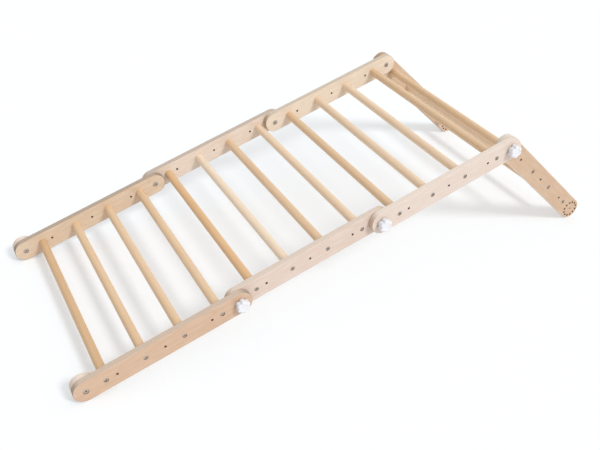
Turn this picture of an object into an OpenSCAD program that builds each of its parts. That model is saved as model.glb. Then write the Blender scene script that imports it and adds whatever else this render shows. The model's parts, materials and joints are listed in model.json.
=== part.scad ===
// Folding climbing triangle: four equal ladder panels pinned end to end.
// Panels A, B and C lie in one sloping line, and panel D is folded down as the leg.
// Frame: +X along the climb, -Y towards the near side, +Z up, floor at Z = 0,
// origin on the floor midway between the feet.

/* [Ladder panels] */
// Distance between neighbouring rungs, also across the joints
rung_pitch = 110; // [106:1:140]
// Width of a panel over the outer faces of its two rails
panel_w = 670; // [400:1:900]
// Angle that the leg is folded down from the line of the other panels
leg_fold = 60; // [30:30:90]

/* [Rails] */
// Width of a rail, also the diameter of its round ends
rail_w = 66; // [62:1:70]
// Thickness of the plywood
rail_t = 18; // [17:0.5:24]
// Radius of the rounded edges of rails and discs
rail_edge_r = 2; // [1:0.25:3]
// Running gap between two rails that overlap at a joint
rail_gap = 1; // [0.7:0.1:1.5]
// Diameter of the three small holes through each rail
peg_hole_d = 7; // [4:0.5:8]
// Distance of the outer small holes from the end rungs, along the rail
peg_hole_step = 30.5; // [24:0.5:36]

/* [Rungs] */
// Diameter of a rung
rung_d = 25; // [22:0.5:28]
// Depth of the blind socket that houses a rung's end
rung_socket = 6; // [3:0.5:8]
// Radial play of a rung's end in its socket
rung_play = 0.05; // [0.02:0.01:0.1]

/* [Rung screws] */
// Diameter of a screw's head
screw_head_d = 12; // [9:0.5:15]
// Thickness of a screw's head
screw_head_t = 2.6; // [2:0.1:2.9]
// Diameter of a screw's shank
screw_d = 6; // [4:0.5:7]
// Length of the shank below the head
screw_l = 50; // [30:1:70]
// Depth of the counterbore that the head sits in
screw_sink = 3.4; // [3:0.1:5]
// Width across the flats of the hexagon socket in a screw's head
screw_socket = 4; // [3:0.5:5]

/* [Pivots] */
// Diameter of the pivot bolts and foot bolts
bolt_d = 8; // [6:1:10]
// Diameter of a bolt's head and of a foot nut
bolt_head_d = 15; // [13:0.5:18]
// Thickness of a bolt's head and of a foot nut
bolt_head_t = 3.4; // [2.5:0.1:3.5]
// Depth of the counterbore that a head or nut sits in
bolt_sink = 4; // [3.6:0.1:5]
// Length of bolt that reaches into a knob
bolt_grip = 13; // [10:1:15]
// Radial running play of a bolt in its bores
bolt_play = 0.08; // [0.05:0.01:0.1]
// Width across the flats of the hexagon socket in a bolt's head
bolt_socket = 5; // [4:0.5:6]
// Play round a sunk head, on its diameter
head_play = 1; // [0.5:0.1:2]
// Depth of the hexagon sockets
socket_depth = 1.8; // [1:0.1:2]

/* [Index rings] */
// Number of holes in a ring
ring_holes = 12; // [4:4:12]
// Radius of the circle that the ring's holes lie on
ring_r = 23.5; // [21:0.5:25]
// Diameter of a ring's hole
ring_hole_d = 7; // [4:0.5:8]
// Radial play of an index pin in its holes
pin_play = 0.05; // [0.02:0.01:0.1]
// Length of an index pin
pin_l = 15; // [12:0.5:15]
// Length that a pin stands out of its rail when it is engaged
pin_reach = 6; // [4:0.5:7]
// Clearance that a backed-off pin's tip keeps from the ring
pin_clear = 0.4; // [0.3:0.05:0.5]

/* [Knobs] */
// Diameter over a knob's lobes
knob_d = 38; // [34:1:44]
// Height of a knob above the rail
knob_h = 20; // [18:1:28]
// Number of lobes
knob_lobes = 6; // [5:1:8]
// Radius of the hollow between two lobes
knob_flute_r = 4.5; // [3.5:0.5:8]
// Depth of the hollow between two lobes
knob_flute_depth = 4; // [1.5:0.25:4.5]
// Diameter of the hub that bears on the rail
knob_hub_d = 24; // [20:1:26]
// Height of that hub
knob_hub_h = 3; // [2:0.5:5]
// Radius of the rounded rim round a knob's top
knob_rim_r = 4; // [2:0.5:5]
// Chamfer round a knob's underside
knob_chamfer = 1; // [0.5:0.25:2]
// Clearance between a knob and the rail under it
knob_clear = 0.3; // [0.2:0.05:0.5]

/* [Hidden] */
PANELS = ["a", "b", "c", "d"];
SIDES = ["near", "far"];
JOINTS = ["ab", "bc", "cd"];
RUNGS = 4;
NEAR = 0;
FAR = 1;

// Segments of large and small rounds, steps in a rounded edge, and how far a cut runs past a face
round_fn = 96;
hole_fn = 32;
edge_steps = 3;
over = 1;

panel_l = rung_pitch * RUNGS;
rail_r = rail_w / 2;
// A panel of the second pair (B, D) lies this far to the far side of the first pair (A, C)
lateral_step = rail_t + rail_gap;
total_w = panel_w + lateral_step;
slope = atan(sin(leg_fold) / (3 + cos(leg_fold)));
span = panel_l * sqrt(10 + 6 * cos(leg_fold));

// Direction of each panel above the horizontal
panel_angle = [slope, slope, slope, slope - leg_fold];
// Pivots as [x, z]; pivot i is the start of panel i
pivot = [for (i = [0:3]) [
    -span / 2 + i * panel_l * cos(slope),
    rail_r + i * panel_l * sin(slope)
]];
// Small holes along a rail
peg_x = [
    rung_pitch / 2 + peg_hole_step,
    panel_l / 2,
    panel_l - rung_pitch / 2 - peg_hole_step
];

bolt_bore_d = bolt_d + 2 * bolt_play;
head_seat_d = bolt_head_d + head_play;
// A pin's bore takes it whole when it is backed off
pin_out = rail_gap - pin_clear;
pin_seat_depth = pin_l - pin_out;
// Wood of the rail between a screw head and the rung
screw_wall = rail_t - screw_sink - rung_socket;

function in_first_pair(p) = p % 2 == 0;
function rung_x(i) = rung_pitch / 2 + i * rung_pitch;
// Lowest Y of a panel's near or far rail
function rail_y(p, side) =
    -total_w / 2 + (in_first_pair(p) ? 0 : lateral_step) + side * (panel_w - rail_t);
// Of the two panels that meet at pivot j, the one of the first pair and the one of the second
function first_at(j) = in_first_pair(j) ? j : j - 1;
function second_at(j) = in_first_pair(j) ? j - 1 : j;
// Knobs sit outside; this is the Y of the face that a knob bears on
function knob_face_y(j, side) =
    side == NEAR ? rail_y(first_at(j), NEAR) : rail_y(second_at(j), FAR) + rail_t;
// Bolt heads sit inside; this is the Y of the seat under a pivot bolt's head
function head_seat_y(j, side) = side == NEAR
    ? rail_y(second_at(j), NEAR) + rail_t - bolt_sink
    : rail_y(first_at(j), FAR) + bolt_sink;

// Quarter round from a flat face out to a side, as [outwards, upwards] in units of its radius
edge_arc = [for (k = [0:edge_steps]) let (a = 90 * k / edge_steps) [sin(a), 1 - cos(a)]];

// Half of a board's section, [distance from the centre line, height], both edges rounded
function half_section(half_w, t, r) = concat(
    [for (e = edge_arc) [half_w - r + r * e[0], r * e[1]]],
    [for (k = [edge_steps:-1:0]) [half_w - r + r * edge_arc[k][0], t - r * edge_arc[k][1]]]
);

// Draws children, made along +X, in the place of panel p
module on_panel(p) {
    translate([pivot[p][0], 0, pivot[p][1]])
        rotate([0, -panel_angle[p], 0])
            children();
}

// Draws children at y = 0 looking towards +Y, or turned round to look towards -Y
module looking(far_wards) {
    mirror([0, far_wards ? 0 : 1, 0])
        children();
}

// A cylinder along +Y that starts at y = 0
module y_rod(d, l, fn = hole_fn) {
    rotate([-90, 0, 0])
        cylinder(d = d, h = l, $fn = fn);
}

// A hexagon socket along +Y that starts at y = 0
module hex_socket(flats) {
    rotate([-90, 0, 0])
        cylinder(d = flats / cos(30), h = socket_depth + over, $fn = 6);
}

// A plywood disc with rounded edges, from y = 0 to y = rail_t
module board_disc() {
    rotate([-90, 0, 0])
        rotate_extrude($fn = round_fn)
            polygon(concat(
                [[0, 0]],
                half_section(rail_r, rail_t, rail_edge_r),
                [[0, rail_t]]
            ));
}

// The straight part of a rail along +X, from y = 0 to y = rail_t
module board_bar() {
    half = half_section(rail_r, rail_t, rail_edge_r);
    last = len(half) - 1;
    rotate([90, 0, 90])
        linear_extrude(height = panel_l)
            polygon(concat(
                [for (q = half) [q[1], q[0]]],
                [for (k = [last:-1:0]) [half[k][1], -half[k][0]]]
            ));
}

// Blind socket for a rung, looking out of the rail's inner face at y = rail_t,
// with the hole of its screw and the counterbore of the screw's head
module rung_seat() {
    translate([0, rail_t - rung_socket, 0])
        y_rod(rung_d + 2 * rung_play, rung_socket + over, round_fn);
    translate([0, -over, 0])
        y_rod(screw_head_d + head_play, screw_sink + over);
    y_rod(screw_d + 2 * rung_play, rail_t);
}

// Ring of through holes round a pivot
module index_ring() {
    for (k = [0:ring_holes - 1])
        rotate([0, k * 360 / ring_holes, 0])
            translate([ring_r, -over, 0])
                y_rod(ring_hole_d, rail_t + 2 * over);
}

// Draws children at the two index pins of a rail's end
module at_pins() {
    for (m = [-1, 1])
        translate([0, 0, m * ring_r])
            children();
}

// Counterbore for a bolt's head or nut, cut into the face at y = 0 towards +Y
module head_seat() {
    translate([0, -over, 0])
        y_rod(head_seat_d, bolt_sink + over);
}

// Counterbores of the pivot bolts and foot bolts in one rail
module head_seats(p, side) {
    first = in_first_pair(p);
    if (first && side == FAR)
        for (x = [0, panel_l])
            translate([x, 0, 0])
                head_seat();
    if (p == 0 && side == NEAR)
        head_seat();
    if (!first && side == NEAR)
        for (x = p == 3 ? [0] : [0, panel_l])
            translate([x, rail_t, 0])
                looking(false)
                    head_seat();
}

module rail_shape(p, side) {
    difference() {
        union() {
            board_disc();
            translate([panel_l, 0, 0])
                board_disc();
            board_bar();
        }
        for (i = [0:RUNGS - 1])
            translate([rung_x(i), side == NEAR ? 0 : rail_t, 0])
                looking(side == NEAR)
                    rung_seat();
        for (x = peg_x)
            translate([x, -over, 0])
                y_rod(peg_hole_d, rail_t + 2 * over);
        for (x = [0, panel_l])
            translate([x, 0, 0]) {
                translate([0, -over, 0])
                    y_rod(bolt_bore_d, rail_t + 2 * over);
                if (in_first_pair(p))
                    at_pins()
                        translate([0, rail_t - pin_seat_depth, 0])
                            y_rod(ring_hole_d, pin_seat_depth + over);
                else
                    index_ring();
            }
        head_seats(p, side);
    }
}

module rail(p, side) {
    color(p == 0 || p == 3 ? "tan" : "wheat")
        on_panel(p)
            translate([0, rail_y(p, side), 0])
                rail_shape(p, side);
}

module rung(p, i) {
    start = rail_y(p, NEAR) + rail_t - rung_socket;
    rung_l = rail_y(p, FAR) + rung_socket - start;
    pilot = screw_l - screw_wall + over;
    color("burlywood")
        on_panel(p)
            translate([rung_x(i), start, 0])
                difference() {
                    y_rod(rung_d, rung_l, round_fn);
                    for (far_wards = [true, false])
                        translate([0, far_wards ? 0 : rung_l, 0])
                            looking(far_wards)
                                translate([0, -over, 0])
                                    y_rod(screw_d + 2 * rung_play, pilot + over);
                }
}

// A screw or bolt along +Y, seated at y = 0
module headed(d, l, head_d, head_t, socket) {
    difference() {
        union() {
            translate([0, -head_t, 0])
                y_rod(head_d, head_t);
            y_rod(d, l);
        }
        translate([0, -head_t - over, 0])
            hex_socket(socket);
    }
}

module rung_screws(p) {
    color("silver")
        on_panel(p)
            for (i = [0:RUNGS - 1], side = [NEAR, FAR])
                translate([
                    rung_x(i),
                    side == NEAR ? rail_y(p, NEAR) + screw_sink : rail_y(p, FAR) + rail_t - screw_sink,
                    0
                ])
                    looking(side == NEAR)
                        headed(screw_d, screw_l, screw_head_d, screw_head_t, screw_socket);
}

module pivot_bolt(j, side) {
    shank = 2 * rail_t - bolt_sink + rail_gap + knob_clear + bolt_grip;
    color("silver")
        translate([pivot[j][0], head_seat_y(j, side), pivot[j][1]])
            looking(side == FAR)
                headed(bolt_d, shank, bolt_head_d, bolt_head_t, bolt_socket);
}

// A lobed grip knob that looks towards +Y, its hub on y = 0
module knob_shape() {
    lobe_r = knob_d / 2;
    hub_r = knob_hub_d / 2;
    rim = [for (k = [0:edge_steps + 1]) let (a = 90 * k / (edge_steps + 1)) [
        lobe_r - knob_rim_r * (1 - cos(a)),
        knob_h - knob_rim_r * (1 - sin(a))
    ]];
    flute_at = lobe_r + knob_flute_r - knob_flute_depth;
    difference() {
        rotate([-90, 0, 0])
            rotate_extrude($fn = round_fn)
                polygon(concat(
                    [[0, 0], [hub_r, 0], [hub_r, knob_hub_h]],
                    [[lobe_r - knob_chamfer, knob_hub_h], [lobe_r, knob_hub_h + knob_chamfer]],
                    rim,
                    [[0, knob_h]]
                ));
        for (k = [0:knob_lobes - 1])
            rotate([0, k * 360 / knob_lobes, 0])
                translate([flute_at, -over, 0])
                    y_rod(2 * knob_flute_r, knob_h + 2 * over);
        translate([0, -over, 0])
            y_rod(bolt_bore_d, bolt_grip + 2 * over);
    }
}

module knob(j, side) {
    color("white")
        translate([pivot[j][0], knob_face_y(j, side), pivot[j][1]])
            looking(side == FAR)
                translate([0, knob_clear, 0])
                    knob_shape();
}

// Index pins of one rail: engaged in the foot disc at A's free end, backed off at the joints
module index_pins(p, side) {
    color("silver")
        on_panel(p)
            for (x = [0, panel_l])
                translate([x, rail_y(p, side) + rail_t, 0])
                    at_pins()
                        translate([0, (p == 0 && x == 0 ? pin_reach : pin_out) - pin_l, 0])
                            y_rod(ring_hole_d - 2 * pin_play, pin_l);
}

module foot_disc(side) {
    color("tan")
        on_panel(0)
            translate([0, rail_y(0, side) + rail_t, 0])
                difference() {
                    board_disc();
                    translate([0, -over, 0])
                        y_rod(bolt_bore_d, rail_t + 2 * over);
                    at_pins()
                        translate([0, -over, 0])
                            y_rod(ring_hole_d, pin_reach + 2 * over);
                    translate([0, rail_t, 0])
                        looking(false)
                            head_seat();
                }
}

module foot_bolt(side) {
    shank = 2 * (rail_t - bolt_sink) + bolt_head_t;
    color("silver")
        on_panel(0)
            translate([0, rail_y(0, side) + bolt_sink, 0])
                headed(bolt_d, shank, bolt_head_d, bolt_head_t, bolt_socket);
}

module foot_nut(side) {
    color("silver")
        on_panel(0)
            translate([0, rail_y(0, side) + 2 * rail_t - bolt_sink, 0])
                difference() {
                    y_rod(bolt_head_d, bolt_head_t);
                    translate([0, -over, 0])
                        y_rod(bolt_bore_d, bolt_head_t + 2 * over);
                }
}

for (p = [0:3]) {
    for (s = [NEAR, FAR])
        rail(p, s);
    for (i = [0:RUNGS - 1])
        rung(p, i);
    rung_screws(p);
}
for (j = [1:3], s = [NEAR, FAR]) {
    pivot_bolt(j, s);
    knob(j, s);
}
for (p = [0, 2], s = [NEAR, FAR])
    index_pins(p, s);
for (s = [NEAR, FAR]) {
    foot_disc(s);
    foot_bolt(s);
    foot_nut(s);
}
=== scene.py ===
"""Folding climbing triangle: four ladder panels pinned end to end, set as a ramp with a folded leg."""
import json
import math

import bmesh
import bpy
import numpy as np
from mathutils import Matrix, Vector


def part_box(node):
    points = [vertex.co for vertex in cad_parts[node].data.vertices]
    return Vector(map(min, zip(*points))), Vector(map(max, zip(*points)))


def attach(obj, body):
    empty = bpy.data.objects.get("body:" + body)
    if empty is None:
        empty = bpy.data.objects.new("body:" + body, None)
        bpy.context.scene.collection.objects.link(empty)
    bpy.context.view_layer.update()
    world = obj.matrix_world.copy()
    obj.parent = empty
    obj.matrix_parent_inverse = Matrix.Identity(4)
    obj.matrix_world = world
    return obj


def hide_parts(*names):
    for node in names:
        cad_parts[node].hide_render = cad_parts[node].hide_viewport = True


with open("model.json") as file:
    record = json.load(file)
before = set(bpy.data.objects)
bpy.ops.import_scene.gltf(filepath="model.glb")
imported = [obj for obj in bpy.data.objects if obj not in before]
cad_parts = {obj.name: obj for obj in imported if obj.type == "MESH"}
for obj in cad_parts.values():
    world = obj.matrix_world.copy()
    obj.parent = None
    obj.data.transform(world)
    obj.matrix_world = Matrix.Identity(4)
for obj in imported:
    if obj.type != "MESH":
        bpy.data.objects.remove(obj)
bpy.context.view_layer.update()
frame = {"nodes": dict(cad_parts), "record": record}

RECORD = frame["record"]
MM = 0.001

# ---------------------------------------------------------------- the object's own sizes

PANELS = "abcd"
SIDES = ("near", "far")
RUNGS = 4
NEARWARDS = (0, -1, 0)
FARWARDS = (0, 1, 0)

PLYWOOD_T = 18 * MM
PLYWOOD_PLIES = 13
# A wall further in from a board's rim than this is the wall of a hole
DRILLED_IN = 2.5 * MM
# The walls of the pivots' own bores get no painted shade
# A hole's wall this near to a pivot is that of the pivot's own bore
PIVOT_BORE_WITHIN = 5.5 * MM

# Screws and bolts. A socket is measured over its flats
SCREW = {"head_d": 12 * MM, "head_h": 2.6 * MM, "shank_d": 6 * MM, "socket": 4 * MM}
SCREW_LENGTH = 50 * MM
BOLT = {"head_d": 15 * MM, "head_h": 3.4 * MM, "shank_d": 8 * MM, "socket": 5 * MM}
SHANK_CHAMFER = 1.0 * MM
UNDERHEAD_CHAMFER = 0.2 * MM
RIM_ROUND = 0.7 * MM
# The head rises this far from its rim to its middle, nearly all of it outside the shoulder
DOME_RISE = 0.35 * MM
SHOULDER_SHARE = 0.62
SHOULDER_DROP = 0.06 * MM
# Flat land round the socket, as a multiple of the socket's radius
LAND_SHARE = 1.35
SOCKET_LIP = 0.25 * MM
SOCKET_DEPTH = 1.8 * MM
# The socket's floor is a cone, this much deeper in the middle
SOCKET_CONE = 0.4 * MM
# Profile points within this multiple of the socket's radius are drawn in to the hexagon
SOCKET_REACH = 1.02

KNOB_D = 38 * MM
KNOB_LOBES = 6
KNOB_FLUTE = 4 * MM
FLUTE_SHARPNESS = 2.3
KNOB_HUB_D = 24 * MM
KNOB_HUB_H = 3 * MM
KNOB_BORE_D = 8.16 * MM
KNOB_BORE_DEPTH = 14 * MM
# Rounds on the hub's edges, under the lobes and at the crown's rim
KNOB_HUB_ROUND = 0.6 * MM
KNOB_UNDER_ROUND = 1.0 * MM
KNOB_RIM_ROUND = 4 * MM
KNOB_DISH_D = 20 * MM
KNOB_DISH_DEPTH = 1.2 * MM
# The lip of the dish: how far each point lies out from the dish's radius and below the crown, in mm
KNOB_DISH_LIP = ((1.2, 0.0), (0.5, 0.1), (0.0, 0.5), (-0.6, 1.1), (-1.4, 1.2))
# A ring of points in the dish's flat floor, as a share of the dish's radius, keeps its faces short
KNOB_DISH_RING_SHARE = 0.4

# Columns of a turned form. Both are multiples of six, so a hexagon's corners and the lobes fall on them
FASTENER_SEGMENTS = 48
KNOB_SEGMENTS = 144
# Edges sharper than this stay sharp
TURNED_EDGE_DEG = 32
WOOD_EDGE_DEG = 35
# Points closer than this are one
FORM_WELD = 0.01 * MM
CAD_WELD = 0.002 * MM

# Each screw and bolt stands at a turn of its own, drawn from its group's seed
RUNG_SCREW_SEED = 11
PIVOT_BOLT_SEED = 31
FOOT_BOLT_SEED = 41

# The panel whose rail holds each pivot bolt's head. The bolt rides on it
BOLT_HOLDER = {
    "ab_near": "b", "ab_far": "a",
    "bc_near": "b", "bc_far": "c",
    "cd_near": "d", "cd_far": "c",
}


def hinge_point(joint):
    """Where a hinge's axis crosses the middle of the object."""
    return Vector(next(j["pos_m"] for j in RECORD["behaviour"]["joints"] if j["name"] == joint))


def mount_point(name):
    """A mount's place, moved to the middle of the object."""
    x, _, z = next(m["pos_m"] for m in RECORD["mounts"] if m["name"] == name)
    return Vector((x, 0, z))


def middle(node):
    """Centre of a node's box."""
    low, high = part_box(node)
    return (low + high) / 2


def height_of(node):
    """Height of a node's box."""
    low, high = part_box(node)
    return high.z - low.z


# Ends of the panels, from the heel of A to the foot of D. The heel is no joint: it lies as far before
# the first hinge as the second lies behind it
HINGES = [hinge_point(f"hinge_{pair}") for pair in ("ab", "bc", "cd")]
PIVOTS = [2 * HINGES[0] - HINGES[1], *HINGES, mount_point("leg_ring_near")]
PANEL_L = (HINGES[1] - HINGES[0]).length
BOARD_R = height_of("foot_disc_near") / 2


def panel_angle(panel):
    """How far a panel's rails climb above the floor, in radians."""
    i = PANELS.index(panel)
    along = PIVOTS[i + 1] - PIVOTS[i]
    return math.atan2(along.z, along.x)


# ---------------------------------------------------------------- node helpers

# The sockets of a colour Mix share their names with hidden ones, so they go by place. So do those of a
# float Random Value
SHARE, UNDER, OVER = 0, 6, 7
COLOURS = {"out": 2, "data_type": "RGBA"}
LEAST, MOST = 2, 3
FLOATS = {"out": 1, "data_type": "FLOAT"}


def add(tree, kind, inputs=(), out=0, **settings):
    """Adds a node with its settings and returns one of its outputs, or the node where it has none. Inputs
    go by place, or by name or place in a dict. Each is a value or another node's output to link."""
    node = tree.nodes.new(kind)
    for key, value in settings.items():
        setattr(node, key, value)
    given = inputs if isinstance(inputs, dict) else dict(enumerate(inputs))
    for key, value in given.items():
        if isinstance(value, bpy.types.NodeSocket):
            tree.links.new(value, node.inputs[key])
        else:
            node.inputs[key].default_value = value
    return node.outputs[out] if len(node.outputs) else node


def srgb(code):
    """A hex colour as a linear colour with full alpha."""
    parts = [int(code[i:i + 2], 16) / 255 for i in (1, 3, 5)]
    return [c / 12.92 if c <= 0.04045 else ((c + 0.055) / 1.055) ** 2.4 for c in parts] + [1.0]


def new_material(name):
    """An empty node material, its tree and its output node."""
    material = bpy.data.materials.new(name)
    material.use_nodes = True
    tree = material.node_tree
    tree.nodes.clear()
    return material, tree, add(tree, "ShaderNodeOutputMaterial")


def streaks(tree, place, lengths_mm, detail=3.0, roughness=0.55, distortion=0.0):
    """Grain whose streaks have the given lengths along the three axes, as a value about 0.5."""
    cells = [length * MM for length in lengths_mm]
    stretched = add(tree, "ShaderNodeVectorMath", (place, cells), operation="DIVIDE")
    return add(tree, "ShaderNodeTexNoise", {
        "Vector": stretched, "Scale": 1.0,
        "Detail": detail, "Roughness": roughness, "Distortion": distortion,
    }, out="Fac")


def marks(tree, place, lengths_mm, fade, most=1.0, **grain):
    """Streaks as marks: 0 where the grain is under the fade's first value, most where over its second."""
    value = streaks(tree, place, lengths_mm, **grain)
    return add(tree, "ShaderNodeMapRange", (value, *fade, 0.0, most))


def stained(tree, colour, marked, share, tone):
    """A colour with a tone laid over it by the given share where it is marked."""
    shade = add(tree, "ShaderNodeMath", (marked, share), operation="MULTIPLY")
    return add(tree, "ShaderNodeMix", {SHARE: shade, UNDER: colour, OVER: srgb(tone)}, **COLOURS)


def within(tree, x, z, radius):
    """1 where the point (x, z) lies nearer to the origin than the radius."""
    arm = add(tree, "ShaderNodeCombineXYZ", {"X": x, "Z": z})
    distance = add(tree, "ShaderNodeVectorMath", (arm,), out="Value", operation="LENGTH")
    return add(tree, "ShaderNodeMath", (distance, radius), operation="LESS_THAN")


# ---------------------------------------------------------------- plywood

# Sheets of birch plywood differ a little, so each board has its own tones: the ground and the figure of
# its face veneer, the long-grain plies and the darker cross-grain ones at its edge, and its end grain.
# The far boards' faces are set paler than the near ones, painted light against the shade they stand in,
# and their edge plies darker, painted shade. The end grain is partly painted shade on the round ends;
# A's, near black, is partly painted shade at its heel
BOARDS = {
    ("a", "near"): ("#D1B399", "#C29E80", "#DDCAB8", "#BBA48F", "#402C20"),
    ("b", "near"): ("#DCCABE", "#CFB7A4", "#EADDD0", "#CEBAA7", "#A8845F"),
    ("c", "near"): ("#DFD0C5", "#D6C1B1", "#F5EAE0", "#DDCAB9", "#A8845F"),
    ("d", "near"): ("#CEB195", "#BF9C7E", "#F2ECE3", "#D8CDBD", "#D6C9B8"),
    ("a", "far"): ("#DBC5AC", "#CBAE90", "#C0AF9D", "#A28C78", "#402C20"),
    ("b", "far"): ("#E4D5C7", "#D7C1AC", "#CFC1B6", "#B6A392", "#B09070"),
    ("c", "far"): ("#E6D7C4", "#DCC6AF", "#DBCEBD", "#C5B29C", "#946F4C"),
    ("d", "far"): ("#D5BA9F", "#C5A487", "#CDB8A2", "#AB927A", "#A8845F"),
    "disc": ("#DFD0C5", "#D6C1B1", "#F5EAE0", "#DDCAB9", "#C2A98F"),
}
LINE_TONE = "#B9906C"
PORE_TONE = "#A97C56"
OPEN_PLY_TONE = "#A58A70"
# Painted shade on the walls of drilled holes, for the long-grain plies and for the cross-grain ones
HOLE_SHADE_TONES = ("#93745A", "#73563F")

# How many flames lie across the whole range of the sheet's noise, each a rise and a fall
FLAMES = 11
PLY_WAVINESS = 0.25
END_GRAIN_SHARE = 0.55
# How deep lines are beside pores
LINE_DEPTH_SHARE = 0.6


def veneer(tree, local, ground, figure):
    """The face: flames of the peeled veneer, 6 to 15 mm apart, cloudy patches about 60 mm long, and lines
    and pores under 2 mm wide. Returns its colour and the depth of its lines and pores."""
    sheet = streaks(tree, local, (550, 200, 70), detail=2.0, roughness=0.45, distortion=0.25)
    swings = add(tree, "ShaderNodeMath", (sheet, 2 * FLAMES), operation="MULTIPLY")
    flame = add(tree, "ShaderNodeMath", (swings, 1.0), operation="PINGPONG")
    flame = add(tree, "ShaderNodeMapRange", {"Value": flame, "From Min": 0.35, "To Max": 0.32},
                interpolation_type="SMOOTHSTEP")
    patch = marks(tree, local, (60, 30, 16), fade=(0.38, 0.68), most=0.34)
    colour = ground
    for figured in (flame, patch):
        colour = add(tree, "ShaderNodeMix", {SHARE: figured, UNDER: colour, OVER: figure}, **COLOURS)

    line = marks(tree, local, (40, 10, 1.5), fade=(0.45, 0.75), detail=2.0)
    pore = marks(tree, local, (5, 3, 0.6), fade=(0.62, 0.78), detail=1.0)
    colour = stained(tree, colour, line, 0.16, LINE_TONE)
    colour = stained(tree, colour, pore, 0.30, PORE_TONE)
    relief = add(tree, "ShaderNodeMath", (line, LINE_DEPTH_SHARE, pore), operation="MULTIPLY_ADD")
    return colour, relief


def ply_edges(tree, local, depth, long_ply, cross_ply):
    """The plies at an edge: every other one shows its end grain, darker and more open. Returns their
    colour, a value that is 1 on those cross-grain plies, and the fibre they show."""
    waviness = streaks(tree, local, (30, 2, 30), detail=2.0)
    waviness = add(tree, "ShaderNodeMath", (waviness, PLY_WAVINESS), operation="MULTIPLY")
    plies = add(tree, "ShaderNodeMath", (depth, PLYWOOD_PLIES / PLYWOOD_T, waviness),
                operation="MULTIPLY_ADD")
    ply = add(tree, "ShaderNodeMath", (plies, 1.0), operation="PINGPONG")
    crossing = add(tree, "ShaderNodeMapRange", {"Value": ply, "From Min": 0.42, "From Max": 0.58})

    fibre = streaks(tree, local, (2.5, 1.2, 2.5), roughness=0.7)
    opened = add(tree, "ShaderNodeMapRange", {
        "Value": fibre, "From Min": 0.35, "From Max": 0.75, "To Max": 0.30,
    })
    cross_ply = add(tree, "ShaderNodeMix", {SHARE: opened, UNDER: cross_ply, OVER: srgb(OPEN_PLY_TONE)},
                    **COLOURS)
    colour = add(tree, "ShaderNodeMix", {SHARE: crossing, UNDER: long_ply, OVER: cross_ply}, **COLOURS)
    return colour, crossing, fibre


def holes_and_bores(tree, along, across, length):
    """Where a wall lies further in than the board's rim, so that it is a drilled hole's, and where it lies
    close to the centre of a round end, so that it is a pivot bore's."""
    past_end = add(tree, "ShaderNodeClamp", (along, 0.0, length))
    past_end = add(tree, "ShaderNodeMath", (along, past_end), operation="SUBTRACT")
    from_centre = add(tree, "ShaderNodeMath", (along, length / 2), operation="SUBTRACT")
    from_centre = add(tree, "ShaderNodeMath", (from_centre,), operation="ABSOLUTE")
    from_centre = add(tree, "ShaderNodeMath", (from_centre, length / 2), operation="SUBTRACT")
    return (within(tree, past_end, across, BOARD_R - DRILLED_IN),
            within(tree, from_centre, across, PIVOT_BORE_WITHIN))


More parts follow.
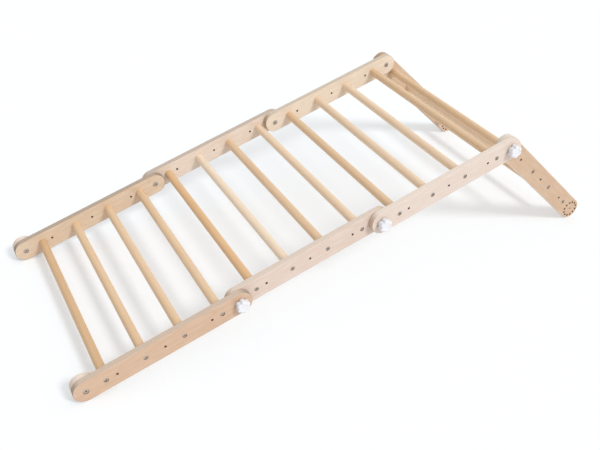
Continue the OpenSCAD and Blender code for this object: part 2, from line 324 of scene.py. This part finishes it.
def birch_plywood(name, tones, panel, low_y, length):
    """Rotary-cut birch plywood, sanded and lacquered: pale satin faces with a faint flame figure, edges
    that show the plies as thin light and dark lines, browner end grain where the edge turns across the
    panel, partly painted shade on the round ends, and painted shade on the walls of the drilled holes.
    The board has round ends, with the given length between their centres."""
    material, tree, output = new_material(name)
    ground, figure, long_ply, cross_ply, end_grain = (srgb(code) for code in tones)
    place = add(tree, "ShaderNodeTexCoord", out="Object")
    origin, climb = PIVOTS[PANELS.index(panel)], panel_angle(panel)
    local = add(tree, "ShaderNodeMapping", {
        "Vector": place, "Location": (origin.x, low_y, origin.z), "Rotation": (0, -climb, 0),
    }, vector_type="TEXTURE")
    along = add(tree, "ShaderNodeSeparateXYZ", (local,))
    depth, across = along.node.outputs["Y"], along.node.outputs["Z"]
    face, relief = veneer(tree, local, ground, figure)
    edge, crossing, fibre = ply_edges(tree, local, depth, long_ply, cross_ply)

    # Where the edge faces along the rail it takes the end grain's tone: real end grain, partly painted
    # shade on the round ends, most of all at A's heel
    surface = place.node.outputs["Normal"]
    end_on = add(tree, "ShaderNodeVectorMath", (surface, (math.cos(climb), 0, math.sin(climb))),
                 out="Value", operation="DOT_PRODUCT")
    end_on = add(tree, "ShaderNodeMath", (end_on,), operation="ABSOLUTE")
    end_on = add(tree, "ShaderNodeMapRange", {"Value": end_on, "To Max": END_GRAIN_SHARE},
                 interpolation_type="SMOOTHSTEP")
    edge = add(tree, "ShaderNodeMix", {SHARE: end_on, UNDER: edge, OVER: end_grain}, **COLOURS)

    # Painted shade darkens the walls of the drilled holes; the pivots' own bores are left without it,
    # their plies as pale as at the rim
    drilled, at_pivot_bore = holes_and_bores(tree, along, across, length)
    shade_long, shade_cross = (srgb(code) for code in HOLE_SHADE_TONES)
    hole_shade = add(tree, "ShaderNodeMix", {SHARE: crossing, UNDER: shade_long, OVER: shade_cross}, **COLOURS)
    wall = add(tree, "ShaderNodeMix", {SHARE: at_pivot_bore, UNDER: hole_shade, OVER: edge}, **COLOURS)
    edge = add(tree, "ShaderNodeMix", {SHARE: drilled, UNDER: edge, OVER: wall}, **COLOURS)

    # The face gives way to the edge over the small round between them
    facing = add(tree, "ShaderNodeSeparateXYZ", (surface,), out="Y")
    flat = add(tree, "ShaderNodeMath", (facing,), operation="ABSOLUTE")
    on_edge = add(tree, "ShaderNodeMapRange", {"Value": flat, "From Min": 0.97, "From Max": 0.80})
    colour = add(tree, "ShaderNodeMix", {SHARE: on_edge, UNDER: face, OVER: edge}, **COLOURS)
    gloss = add(tree, "ShaderNodeMapRange", {"Value": on_edge, "To Min": 0.44, "To Max": 0.60})

    relief = add(tree, "ShaderNodeMath", (on_edge, fibre, relief), operation="MULTIPLY_ADD")
    bump = add(tree, "ShaderNodeBump", {"Strength": 0.3, "Distance": 0.1 * MM, "Height": relief},
               invert=True)
    shader = add(tree, "ShaderNodeBsdfPrincipled", {
        "Base Color": colour, "Roughness": gloss, "Normal": bump, "IOR": 1.5,
        "Coat Weight": 0.10, "Coat Roughness": 0.35,
    })
    tree.links.new(shader, output.inputs[0])
    return material


# ---------------------------------------------------------------- beech, steel and nylon

# Dowels come from different stock: the ground of each kind, and its darker growth rings
DOWEL_TONES = {
    "amber": ("#D5B289", "#C69B6A"),
    "golden": ("#E1BB8D", "#D2A26D"),
    "honey": ("#E4C7A4", "#D5AF85"),
    "pale": ("#EED6B9", "#E1C3A1"),
    "cream": ("#F1DFC7", "#E7CDB0"),
}
DOWELS = {
    "amber": ("a1",),
    "golden": ("b1",),
    "honey": ("a2", "a3", "a4", "b3", "c1", "c4", "d1", "d4"),
    "pale": ("b4", "c2", "c3", "d2", "d3"),
    "cream": ("b2",),
}
GRAIN_TONE = "#BF915F"
FLECK_TONE = "#A8723F"
ZINC_TONES = ("#C9BFB5", "#B0A79E")
# Painted shade in the hexagon sockets of screws and bolts
SOCKET_SHADE_TONE = "#9E8B7C"
NYLON_TONES = ("#E7E7EB", "#E1E2E8")


def turned_beech(tone):
    """Beech dowel, turned and lacquered: warm and smooth, with long fine grain along the rung and the
    short darker flecks that beech shows."""
    material, tree, output = new_material(f"turned_beech_{tone}")
    place = add(tree, "ShaderNodeTexCoord", out="Object")
    ground, dark = (srgb(code) for code in DOWEL_TONES[tone])
    # Dowels of one kind still differ, and each has growth rings about 6 mm apart along it
    stock = marks(tree, place, (110, 800, 110), fade=(0.35, 0.65), most=0.35, detail=1.0)
    ring = marks(tree, place, (6, 300, 6), fade=(0.35, 0.7), most=0.45, roughness=0.6, distortion=0.4)
    colour = ground
    for darker in (stock, ring):
        colour = add(tree, "ShaderNodeMix", {SHARE: darker, UNDER: colour, OVER: dark}, **COLOURS)

    grain = marks(tree, place, (1.2, 60, 1.2), fade=(0.4, 0.75), detail=2.0)
    fleck = marks(tree, place, (0.9, 3.5, 0.9), fade=(0.66, 0.76), detail=1.0)
    colour = stained(tree, colour, grain, 0.22, GRAIN_TONE)
    colour = stained(tree, colour, fleck, 0.45, FLECK_TONE)
    relief = add(tree, "ShaderNodeMath", (grain, fleck), operation="ADD")
    bump = add(tree, "ShaderNodeBump", {"Strength": 0.25, "Distance": 0.08 * MM, "Height": relief},
               invert=True)
    gloss = add(tree, "ShaderNodeMapRange", {"Value": grain, "To Min": 0.40, "To Max": 0.52})
    shader = add(tree, "ShaderNodeBsdfPrincipled", {
        "Base Color": colour, "Roughness": gloss, "Normal": bump, "IOR": 1.5,
        "Coat Weight": 0.15, "Coat Roughness": 0.35,
    })
    tree.links.new(shader, output.inputs[0])
    return material


def zinc_plated_steel():
    """Cold-formed steel with bright zinc plate: silvery, with faint cloudy patches in its gloss, and a
    darker tone in the hexagon socket, painted shade for its recess."""
    material, tree, output = new_material("zinc_plated_steel")
    place = add(tree, "ShaderNodeTexCoord", out="Object")
    cloud = marks(tree, place, (3, 3, 3), fade=(0.3, 0.7))
    bright, dull = (srgb(code) for code in ZINC_TONES)
    colour = add(tree, "ShaderNodeMix", {SHARE: cloud, UNDER: bright, OVER: dull}, **COLOURS)
    # Painted shade: points marked as the socket's take a darker tone
    inside = add(tree, "ShaderNodeAttribute", out="Fac", attribute_name="socket")
    colour = add(tree, "ShaderNodeMix", {SHARE: inside, UNDER: colour, OVER: srgb(SOCKET_SHADE_TONE)},
                 **COLOURS)
    # Tumbling leaves scratches of some hundredths of a millimetre, drawn coarser so that they show
    scratch = streaks(tree, place, (0.4, 2, 0.4), detail=2.0)
    bump = add(tree, "ShaderNodeBump", {"Strength": 0.15, "Distance": 0.04 * MM, "Height": scratch})
    gloss = add(tree, "ShaderNodeMapRange", {"Value": cloud, "To Min": 0.26, "To Max": 0.40})
    shader = add(tree, "ShaderNodeBsdfPrincipled", {
        "Base Color": colour, "Metallic": 1.0, "Roughness": gloss, "Normal": bump,
    })
    tree.links.new(shader, output.inputs[0])
    return material


def moulded_nylon():
    """White nylon, injection moulded in a finely eroded tool: cool white with a soft satin sheen."""
    material, tree, output = new_material("moulded_nylon_white")
    place = add(tree, "ShaderNodeTexCoord", out="Object")
    flow = marks(tree, place, (20, 20, 20), fade=(0.35, 0.65), detail=2.0)
    white, greyer = (srgb(code) for code in NYLON_TONES)
    colour = add(tree, "ShaderNodeMix", {SHARE: flow, UNDER: white, OVER: greyer}, **COLOURS)
    # The tool's pits are about 0.05 mm, drawn coarser so that they show
    erosion = streaks(tree, place, (0.5, 0.5, 0.5), detail=2.0)
    bump = add(tree, "ShaderNodeBump", {"Strength": 0.2, "Distance": 0.06 * MM, "Height": erosion})
    gloss = add(tree, "ShaderNodeMapRange", {
        "Value": erosion, "From Min": 0.3, "From Max": 0.7, "To Min": 0.42, "To Max": 0.54,
    })
    shader = add(tree, "ShaderNodeBsdfPrincipled", {
        "Base Color": colour, "Roughness": gloss, "Normal": bump, "IOR": 1.53,
    })
    tree.links.new(shader, output.inputs[0])
    return material


STEEL = zinc_plated_steel()
NYLON = moulded_nylon()


# ---------------------------------------------------------------- geometry node trees

def new_tree(name, sockets):
    """A geometry node tree with a geometry socket each way and the given named inputs."""
    tree = bpy.data.node_groups.new(name, "GeometryNodeTree")
    tree.interface.new_socket("Geometry", in_out="INPUT", socket_type="NodeSocketGeometry")
    for socket_name, kind in sockets:
        tree.interface.new_socket(socket_name, in_out="INPUT", socket_type="NodeSocket" + kind)
    tree.interface.new_socket("Geometry", in_out="OUTPUT", socket_type="NodeSocketGeometry")
    return tree, add(tree, "NodeGroupInput").node.outputs, add(tree, "NodeGroupOutput")


def finish_tree(tree, geometry, material, output):
    """Ends a tree in a real mesh that carries its material."""
    solid = add(tree, "GeometryNodeRealizeInstances", {"Geometry": geometry})
    dressed = add(tree, "GeometryNodeSetMaterial", {"Geometry": solid, "Material": material})
    tree.links.new(dressed, output.inputs[0])
    return tree


def turned_form_tree():
    """Turns a profile, radius in X and height in Z, about the Z axis. The outside is hollowed by flutes,
    the first of them at +X, and what lies above height 0 within the socket's radius becomes a hexagon."""
    tree, given, output = new_tree("turned_form", [
        ("Segments", "Int"), ("Lobes", "Int"), ("Flute Depth", "Float"), ("Flute Inner Radius", "Float"),
        ("Outer Radius", "Float"), ("Socket Radius", "Float"), ("Material", "Material"),
    ])
    points = add(tree, "GeometryNodeAttributeDomainSize", (given["Geometry"],), component="CURVE")
    columns = add(tree, "ShaderNodeMath", (given["Segments"], 1), operation="ADD")
    grid = add(tree, "GeometryNodeMeshGrid", {"Vertices X": columns, "Vertices Y": points})
    index = add(tree, "GeometryNodeInputIndex")
    row = add(tree, "ShaderNodeMath", (index, points), operation="FLOORED_MODULO")
    column = add(tree, "ShaderNodeMath", (index, points), operation="DIVIDE")
    column = add(tree, "ShaderNodeMath", (column,), operation="FLOOR")
    step = add(tree, "ShaderNodeMath", (math.tau, given["Segments"]), operation="DIVIDE")
    turn = add(tree, "ShaderNodeMath", (column, step), operation="MULTIPLY")
    drawn = add(tree, "GeometryNodeSampleIndex", {
        "Geometry": given["Geometry"], "Value": add(tree, "GeometryNodeInputPosition"), "Index": row,
    }, data_type="FLOAT_VECTOR", domain="POINT")
    reach = add(tree, "ShaderNodeSeparateXYZ", (drawn,), out="X")
    height = reach.node.outputs["Z"]

    # A raised cosine to a power leaves broad round lobes with narrow flutes between them
    wave = add(tree, "ShaderNodeMath", (turn, given["Lobes"]), operation="MULTIPLY")
    wave = add(tree, "ShaderNodeMath", (wave,), operation="COSINE")
    wave = add(tree, "ShaderNodeMath", (wave, 0.5, 0.5), operation="MULTIPLY_ADD")
    wave = add(tree, "ShaderNodeMath", (wave, FLUTE_SHARPNESS), operation="POWER")
    cut = add(tree, "ShaderNodeMapRange", {
        "Value": reach, "From Min": given["Flute Inner Radius"], "From Max": given["Outer Radius"],
        "To Max": given["Flute Depth"],
    }, interpolation_type="SMOOTHSTEP")
    depth = add(tree, "ShaderNodeMath", (wave, cut), operation="MULTIPLY")

    # Towards the middle of each flat, the radius shrinks to that of the flat
    sixth = math.tau / 6
    within_flat = add(tree, "ShaderNodeMath", (turn, sixth), operation="FLOORED_MODULO")
    within_flat = add(tree, "ShaderNodeMath", (within_flat, sixth / 2), operation="SUBTRACT")
    bulge = add(tree, "ShaderNodeMath", (within_flat,), operation="COSINE")
    to_hexagon = add(tree, "ShaderNodeMath", (math.cos(sixth / 2), bulge), operation="DIVIDE")
    to_hexagon = add(tree, "ShaderNodeMath", (to_hexagon, 1.0), operation="SUBTRACT")
    in_socket = add(tree, "ShaderNodeMath", (reach, given["Socket Radius"]), operation="LESS_THAN")
    above = add(tree, "ShaderNodeMath", (height, 0.0), operation="GREATER_THAN")
    in_socket = add(tree, "ShaderNodeMath", (in_socket, above), operation="MULTIPLY")
    scale = add(tree, "ShaderNodeMath", (in_socket, to_hexagon, 1.0), operation="MULTIPLY_ADD")
    radius = add(tree, "ShaderNodeMath", (reach, depth), operation="SUBTRACT")
    radius = add(tree, "ShaderNodeMath", (radius, scale), operation="MULTIPLY")

    cosine = add(tree, "ShaderNodeMath", (turn,), operation="COSINE")
    sine = add(tree, "ShaderNodeMath", (turn,), operation="SINE")
    placed = add(tree, "ShaderNodeCombineXYZ", {
        "X": add(tree, "ShaderNodeMath", (radius, cosine), operation="MULTIPLY"),
        "Y": add(tree, "ShaderNodeMath", (radius, sine), operation="MULTIPLY"),
        "Z": height,
    })
    # The socket's points are marked so that the steel paints shade there
    marked = add(tree, "GeometryNodeStoreNamedAttribute", {
        "Geometry": grid, "Name": "socket", "Value": in_socket,
    }, data_type="FLOAT", domain="POINT")
    shaped = add(tree, "GeometryNodeSetPosition", {"Geometry": marked, "Position": placed})
    closed = add(tree, "GeometryNodeMergeByDistance", {"Geometry": shaped, "Distance": FORM_WELD})
    return finish_tree(tree, closed, given["Material"], output)


def seated_copies_tree():
    """Sets a copy of one template on each point, its +Z along the point's outward direction, and gives
    each a turn of its own about that direction, as screws have when they are driven home."""
    tree, given, output = new_tree("seated_copies", [
        ("Template", "Object"), ("Seed", "Int"), ("Material", "Material"),
    ])
    original = add(tree, "GeometryNodeObjectInfo", {"Object": given["Template"]}, out="Geometry")
    outward = add(tree, "GeometryNodeInputNamedAttribute", {"Name": "outward"}, data_type="FLOAT_VECTOR")
    aimed = add(tree, "FunctionNodeAlignRotationToVector", {"Vector": outward}, axis="Z")
    turn = add(tree, "FunctionNodeRandomValue", {LEAST: 0.0, MOST: math.tau, "Seed": given["Seed"]},
               **FLOATS)
    spin = add(tree, "FunctionNodeAxisAngleToRotation", {"Axis": (0, 0, 1), "Angle": turn})
    rotation = add(tree, "FunctionNodeRotateRotation", {"Rotation": aimed, "Rotate By": spin},
                   rotation_space="LOCAL")
    copies = add(tree, "GeometryNodeInstanceOnPoints", {
        "Points": given["Geometry"], "Instance": original, "Rotation": rotation,
    })
    return finish_tree(tree, copies, given["Material"], output)


TURNED_FORM = turned_form_tree()
SEATED_COPIES = seated_copies_tree()


# ---------------------------------------------------------------- shaping and handing over

def new_object(name, data):
    """An object in the scene, at the origin."""
    holder = bpy.data.objects.new(name, data)
    bpy.context.scene.collection.objects.link(holder)
    return holder


def fit(piece, body, slot, *nodes):
    """Sets a finished piece on its body, in place of its CAD nodes, which it hides. The slot is not used.
    """
    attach(piece, body)
    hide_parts(*nodes)


def grown(source, tree, values, name):
    """Runs a node tree on an object and returns the result as a plain mesh object. The source goes."""
    modifier = source.modifiers.new("grow", "NODES")
    modifier.node_group = tree
    for item in tree.interface.items_tree:
        if item.in_out == "INPUT" and item.name in values:
            modifier[item.identifier] = values[item.name]
    bpy.context.view_layer.update()
    evaluated = source.evaluated_get(bpy.context.evaluated_depsgraph_get())
    mesh = bpy.data.meshes.new_from_object(evaluated)
    source.modifiers.remove(modifier)
    bpy.data.objects.remove(source)
    mesh.name = name
    return new_object(name, mesh)


def smooth_by_angle(mesh, degrees):
    """Shades smoothly, except over edges sharper than the angle."""
    mesh.polygons.foreach_set("use_smooth", [True] * len(mesh.polygons))
    mesh.set_sharp_from_angle(angle=math.radians(degrees))


def outward_faces(mesh):
    """Turns every face outwards."""
    shape = bmesh.new()
    shape.from_mesh(mesh)
    bmesh.ops.recalc_face_normals(shape, faces=shape.faces)
    shape.to_mesh(mesh)
    shape.free()


def profile_curve(points):
    """A poly curve through (radius, height) points."""
    curve = bpy.data.curves.new("profile", "CURVE")
    curve.dimensions = "3D"
    spline = curve.splines.new("POLY")
    spline.points.add(len(points) - 1)
    for point, (radius, height) in zip(spline.points, points):
        point.co = (radius, 0, height, 1)
    return new_object("profile", curve)


def quarter_round(outer, top, radius, steps):
    """Profile points of a rounded rim, from its wall up to its top."""
    turns = [math.pi / 2 * k / steps for k in range(steps + 1)]
    return [(outer - radius * (1 - math.cos(a)), top - radius + radius * math.sin(a)) for a in turns]


def turned(name, points, material, segments, lobes=0, flute=0.0, flute_inner=0.0, socket=0.0):
    """A turned piece about +Z, made from its profile."""
    outer = max(radius for radius, _ in points)
    piece = grown(profile_curve(points), TURNED_FORM, {
        "Segments": segments, "Lobes": lobes, "Flute Depth": flute, "Flute Inner Radius": flute_inner,
        "Outer Radius": outer, "Socket Radius": socket, "Material": material,
    }, name)
    outward_faces(piece.data)
    smooth_by_angle(piece.data, TURNED_EDGE_DEG)
    return piece


# ---------------------------------------------------------------- screws and bolts

def socket_radius(kind):
    """Radius of a socket's corners, from its width over the flats."""
    return kind["socket"] / 2 / math.cos(math.pi / 6)


def headed_profile(kind, shank):
    """Profile of a screw or bolt seated at height 0: shank below, round head and socket above."""
    head_r, head_h, shank_r = kind["head_d"] / 2, kind["head_h"], kind["shank_d"] / 2
    socket_r, socket_floor = socket_radius(kind), head_h - SOCKET_DEPTH
    return [
        (0, -shank), (shank_r - SHANK_CHAMFER, -shank), (shank_r, -shank + SHANK_CHAMFER), (shank_r, 0),
        (head_r - UNDERHEAD_CHAMFER, 0), (head_r, UNDERHEAD_CHAMFER),
        *quarter_round(head_r, head_h - DOME_RISE, RIM_ROUND, steps=6),
        (head_r * SHOULDER_SHARE, head_h - SHOULDER_DROP), (socket_r * LAND_SHARE, head_h),
        (socket_r + SOCKET_LIP, head_h), (socket_r, head_h - SOCKET_LIP),
        (socket_r, socket_floor), (0, socket_floor - SOCKET_CONE),
    ]


def template(name, kind, shank):
    """One screw or bolt, kept out of sight, that copies are made from."""
    piece = turned(name, headed_profile(kind, shank), STEEL, FASTENER_SEGMENTS,
                   socket=socket_radius(kind) * SOCKET_REACH)
    piece.hide_render = True
    return piece


def bolt_template(name, node):
    """A bolt as long as the node's box, along Y."""
    low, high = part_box(node)
    return template(name, BOLT, high.y - low.y - BOLT["head_h"])


def seat(kind, place, node, outward):
    """Where a head that looks outward rests: at the place's x and z, with its top at the node's end."""
    low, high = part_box(node)
    y = low.y + kind["head_h"] if outward == NEARWARDS else high.y - kind["head_h"]
    return (place.x, y, place.z), outward


def seated(name, seats, source, seed):
    """Copies of a template on seats, each a place and an outward direction, as one mesh."""
    mesh = bpy.data.meshes.new(name)
    mesh.from_pydata([place for place, _ in seats], [], [])
    directions = mesh.attributes.new("outward", "FLOAT_VECTOR", "POINT")
    directions.data.foreach_set("vector", [v for _, outward in seats for v in outward])
    piece = grown(new_object(name + "_seats", mesh), SEATED_COPIES, {
        "Template": source, "Seed": seed, "Material": STEEL,
    }, name)
    smooth_by_angle(piece.data, TURNED_EDGE_DEG)
    return piece


def dress_rung_screws():
    """The screws that hold the rungs, heads sunk in the rails' outer faces."""
    source = template("rung_screw_template", SCREW, SCREW_LENGTH)
    for number, panel in enumerate(PANELS):
        node = f"rung_screws_{panel}"
        seats = [seat(SCREW, middle(f"rung_{panel}{i}"), node, outward)
                 for i in range(1, RUNGS + 1) for outward in (NEARWARDS, FARWARDS)]
        piece = seated(f"{node}_plated", seats, source, RUNG_SCREW_SEED + number)
        fit(piece, f"panel_{panel}", "steel", node)
    bpy.data.objects.remove(source)


def dress_bolts():
    """Pivot bolts and foot bolts, one mesh for each body."""
    pivot_bolt = bolt_template("pivot_bolt_template", "pivot_bolt_ab_near")
    foot_bolt = bolt_template("foot_bolt_template", "foot_bolt_near")
    for number, panel in enumerate(PANELS):
        nodes = [f"pivot_bolt_{place}" for place, holder in BOLT_HOLDER.items() if holder == panel]
        # On both sides the head looks inwards, away from the knob
        seats = [seat(BOLT, middle(node), node, FARWARDS if node.endswith("near") else NEARWARDS)
                 for node in nodes]
        piece = seated(f"pivot_bolts_{panel}_plated", seats, pivot_bolt, PIVOT_BOLT_SEED + number)
        fit(piece, f"panel_{panel}", "steel", *nodes)
    nodes = [f"foot_bolt_{side}" for side in SIDES]
    seats = [seat(BOLT, middle(node), node, NEARWARDS) for node in nodes]
    fit(seated("foot_bolts_plated", seats, foot_bolt, FOOT_BOLT_SEED), "panel_a", "steel", *nodes)
    for source in (pivot_bolt, foot_bolt):
        bpy.data.objects.remove(source)


# ---------------------------------------------------------------- knobs

def knob_profile(height):
    """A knob from its hub at height 0 to its crown: under-edge, lobed wall, rounded rim, shallow dish."""
    outer, hub, bore, dish = KNOB_D / 2, KNOB_HUB_D / 2, KNOB_BORE_D / 2, KNOB_DISH_D / 2
    soft, under = KNOB_HUB_ROUND, KNOB_UNDER_ROUND
    # The middle point of a quarter round lies about this share of its radius in from each side
    midway = 0.3
    wall_foot, wall_top = KNOB_HUB_H + under, height - KNOB_RIM_ROUND
    floor = height - KNOB_DISH_DEPTH
    return [
        (0, KNOB_BORE_DEPTH), (bore, KNOB_BORE_DEPTH), (bore, soft), (bore + soft, 0),
        (hub - soft, 0), (hub, soft), (hub, KNOB_HUB_H - soft), (hub + soft, KNOB_HUB_H),
        (outer - under, KNOB_HUB_H), (outer - midway * under, KNOB_HUB_H + midway * under),
        (outer, wall_foot), *((outer, wall_foot + (wall_top - wall_foot) * k / 3) for k in (1, 2)),
        *quarter_round(outer, height, KNOB_RIM_ROUND, steps=8),
        *((dish + out * MM, height - down * MM) for out, down in KNOB_DISH_LIP),
        (dish * KNOB_DISH_RING_SHARE, floor), (0, floor),
    ]


def dress_knobs():
    """The six lobed grip knobs, each on its own body."""
    for place in BOLT_HOLDER:
        node = f"knob_{place}"
        low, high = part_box(node)
        near = place.endswith("near")
        at = middle(f"pivot_bolt_{place}")
        piece = turned(f"{node}_moulded", knob_profile(high.y - low.y), NYLON, KNOB_SEGMENTS,
                       lobes=KNOB_LOBES, flute=KNOB_FLUTE, flute_inner=KNOB_HUB_D / 2)
        # +Z of the turned form looks away from the rail
        turn = Matrix.Rotation(math.radians(90 if near else -90), 4, "X")
        piece.data.transform(Matrix.Translation((at.x, high.y if near else low.y, at.z)) @ turn)
        fit(piece, node, "white_plastic", node)


# ---------------------------------------------------------------- boards and rungs

# What a face of a board is, by how squarely it faces along Y. A lower rank rules a shared corner
FLAT_OVER, RIM_UNDER = 0.999, 0.01
FLAT, RIM, ROUND, NO_RULE = 0, 1, 2, 3


def flat_faces_stay_flat(mesh, degrees):
    """Gives each corner its normal. Of the faces that meet there within the angle, a board's flat faces
    rule, then its rim, then the rounds between them, so that the rounds blend and the flats stay flat."""
    faces, corners = len(mesh.polygons), len(mesh.loops)
    normal = np.empty(faces * 3)
    mesh.polygons.foreach_get("normal", normal)
    normal = normal.reshape(-1, 3)
    squarely = np.abs(normal[:, 1])
    rank = np.where(squarely > FLAT_OVER, FLAT, np.where(squarely < RIM_UNDER, RIM, ROUND))
    vertex = np.empty(corners, dtype=int)
    mesh.loops.foreach_get("vertex_index", vertex)
    place = np.empty(len(mesh.vertices) * 3)
    mesh.vertices.foreach_get("co", place)

    # Every face is a triangle. Its normal counts at each corner by the angle it has there
    triangle = place.reshape(-1, 3)[vertex].reshape(-1, 3, 3)
    ahead = np.roll(triangle, -1, axis=1) - triangle
    behind = np.roll(triangle, 1, axis=1) - triangle
    spread = np.linalg.norm(np.cross(ahead, behind), axis=2)
    opening = np.arctan2(spread, np.sum(ahead * behind, axis=2)).reshape(-1)
    face = np.arange(corners) // 3

    # Each corner beside every corner of the same vertex
    order = np.argsort(vertex, kind="stable")
    count = np.bincount(vertex)
    first = np.cumsum(count) - count
    beside = count[vertex]
    start = np.cumsum(beside) - beside
    one = np.repeat(np.arange(corners), beside)
    other = order[first[vertex[one]] + np.arange(len(one)) - start[one]]
    blends = np.sum(normal[face[one]] * normal[face[other]], axis=1) >= math.cos(math.radians(degrees))
    ranks = np.where(blends, rank[face[other]], NO_RULE)
    rules = ranks == np.minimum.reduceat(ranks, start)[one]
    weighted = normal[face[other]] * (opening[other] * rules)[:, None]
    total = np.add.reduceat(weighted, start)
    mesh.normals_split_custom_set(total / np.linalg.norm(total, axis=1)[:, None])


def finished_copy(node, body, material, slot):
    """The CAD solid's own shape as one welded and smoothly shaded mesh."""
    name = node + "_finished"
    mesh = frame["nodes"][node].data.copy()
    mesh.name = name
    shape = bmesh.new()
    shape.from_mesh(mesh)
    bmesh.ops.remove_doubles(shape, verts=shape.verts, dist=CAD_WELD)
    shape.to_mesh(mesh)
    shape.free()
    mesh.materials.clear()
    mesh.materials.append(material)
    smooth_by_angle(mesh, WOOD_EDGE_DEG)
    flat_faces_stay_flat(mesh, WOOD_EDGE_DEG)
    fit(new_object(name, mesh), body, slot, node)


def dress_boards():
    """Rails and foot discs in plywood, each with its plies counted from its own near face. A disc is a
    board whose two round ends have one centre."""
    for side in SIDES:
        for panel in PANELS:
            node = f"rail_{panel}_{side}"
            plywood = birch_plywood(f"birch_plywood_{panel}_{side}", BOARDS[panel, side], panel,
                                    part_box(node)[0].y, PANEL_L)
            finished_copy(node, f"panel_{panel}", plywood, "plywood")
        node = f"foot_disc_{side}"
        plywood = birch_plywood(f"birch_plywood_disc_{side}", BOARDS["disc"], "a",
                                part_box(node)[0].y, 0.0)
        finished_copy(node, "panel_a", plywood, "plywood")


def dress_rungs():
    """The sixteen rungs, each in the stock it was turned from."""
    for tone, rungs in DOWELS.items():
        beech = turned_beech(tone)
        for rung in rungs:
            finished_copy(f"rung_{rung}", f"panel_{rung[0]}", beech, "beech")


def dress_hidden_steel():
    """Index pins and foot nuts: their CAD shape is right as it is, so only their finish is set."""
    for node, holder in frame["nodes"].items():
        if node.startswith(("index_pins", "foot_nut")):
            holder.data.materials.clear()
            holder.data.materials.append(STEEL)


# ---------------------------------------------------------------- camera, light, floor

CAMERA_AT = Vector((-0.9538, -1.8240, 1.5230))
CAMERA_AIM = Vector((0.0175, 0.0595, 0.0))
CAMERA_ROLL_DEG = -1.2
CAMERA_LENS = 48.65
CAMERA_SENSOR = 36

KEY_FROM = Vector((0.45, -0.95, 1.0))
KEY_STRENGTH = 1.60
KEY_SOFTNESS_DEG = 14
# The world's strength as it falls on surfaces, and how much of it is missing on the left, where the
# studio is dim. To the eye and in gloss the world is plain white, at strength 1
FILL = 0.765
FILL_LOST_LEFT = 0.17
WHITE = (1, 1, 1, 1)

FLOOR_REACH = 30
# The floor's share of plain white, so that it reads white to the eye and still takes the shadows
FLOOR_WHITE = 0.34
# The rest of the floor, as the eye sees it and as it throws light back on the object
FLOOR_SEEN = "#F6FBFF"
FLOOR_BOUNCE = "#F2F2F3"


def make_camera():
    """The photograph's viewing angle, fitted to the rails, screws and holes it shows."""
    lens = bpy.data.cameras.new("camera")
    lens.lens = CAMERA_LENS
    lens.sensor_width = CAMERA_SENSOR
    camera = new_object("camera", lens)
    look = (CAMERA_AIM - CAMERA_AT).normalized()
    level = look.to_track_quat("-Z", "Y").to_matrix().to_4x4()
    roll = Matrix.Rotation(math.radians(CAMERA_ROLL_DEG), 4, "Z")
    camera.matrix_world = Matrix.Translation(CAMERA_AT) @ level @ roll
    bpy.context.scene.camera = camera


def seen_directly(tree):
    """1 for rays from the eye, and for those that reach it by gloss or through glass."""
    ray = add(tree, "ShaderNodeLightPath", out="Is Camera Ray")
    seen = add(tree, "ShaderNodeMath", (ray, ray.node.outputs["Is Glossy Ray"]), operation="MAXIMUM")
    return add(tree, "ShaderNodeMath", (seen, ray.node.outputs["Is Transmission Ray"]),
               operation="MAXIMUM")


def make_light():
    """A soft key from the front and a little to the right, and a white world as fill."""
    lamp = bpy.data.lights.new("key_light", "SUN")
    lamp.energy = KEY_STRENGTH
    lamp.angle = math.radians(KEY_SOFTNESS_DEG)
    key = new_object("key_light", lamp)
    key.rotation_mode = "QUATERNION"
    key.rotation_quaternion = KEY_FROM.to_track_quat("Z", "Y")

    world = bpy.data.worlds.new("studio")
    world.use_nodes = True
    tree = world.node_tree
    tree.nodes.clear()
    sky = add(tree, "ShaderNodeTexCoord", out="Generated")
    rightwards = add(tree, "ShaderNodeSeparateXYZ", (sky,), out="X")
    fill = add(tree, "ShaderNodeMapRange", {
        "Value": rightwards, "From Min": -1.0, "From Max": 0.0,
        "To Min": FILL - FILL_LOST_LEFT, "To Max": FILL,
    })
    strength = add(tree, "ShaderNodeMapRange", {"Value": seen_directly(tree), "To Min": fill})
    backdrop = add(tree, "ShaderNodeBackground", {"Color": WHITE, "Strength": strength})
    tree.links.new(backdrop, add(tree, "ShaderNodeOutputWorld").inputs[0])
    bpy.context.scene.world = world


def make_floor():
    """A plain pale floor that reads as white to the camera and keeps the object's shadow."""
    mesh = bpy.data.meshes.new("floor")
    corners = [(x * FLOOR_REACH, y * FLOOR_REACH, 0) for x, y in ((-1, -1), (1, -1), (1, 1), (-1, 1))]
    mesh.from_pydata(corners, [], [(0, 1, 2, 3)])
    floor = new_object("floor", mesh)
    material, tree, output = new_material("matt_white_studio_floor")
    seen = seen_directly(tree)
    ground = add(tree, "ShaderNodeMix", {
        SHARE: seen, UNDER: srgb(FLOOR_BOUNCE), OVER: srgb(FLOOR_SEEN),
    }, **COLOURS)
    lit = add(tree, "ShaderNodeBsdfDiffuse", {"Color": ground})
    white = add(tree, "ShaderNodeEmission", {"Color": WHITE, "Strength": 1.0})
    share = add(tree, "ShaderNodeMath", (seen, FLOOR_WHITE), operation="MULTIPLY")
    shader = add(tree, "ShaderNodeMixShader", (share, lit, white))
    tree.links.new(shader, output.inputs[0])
    mesh.materials.append(material)


make_camera()
make_light()
make_floor()
dress_boards()
dress_rungs()
dress_hidden_steel()
dress_rung_screws()
dress_bolts()
dress_knobs()

bpy.context.scene.view_settings.view_transform = "Standard"
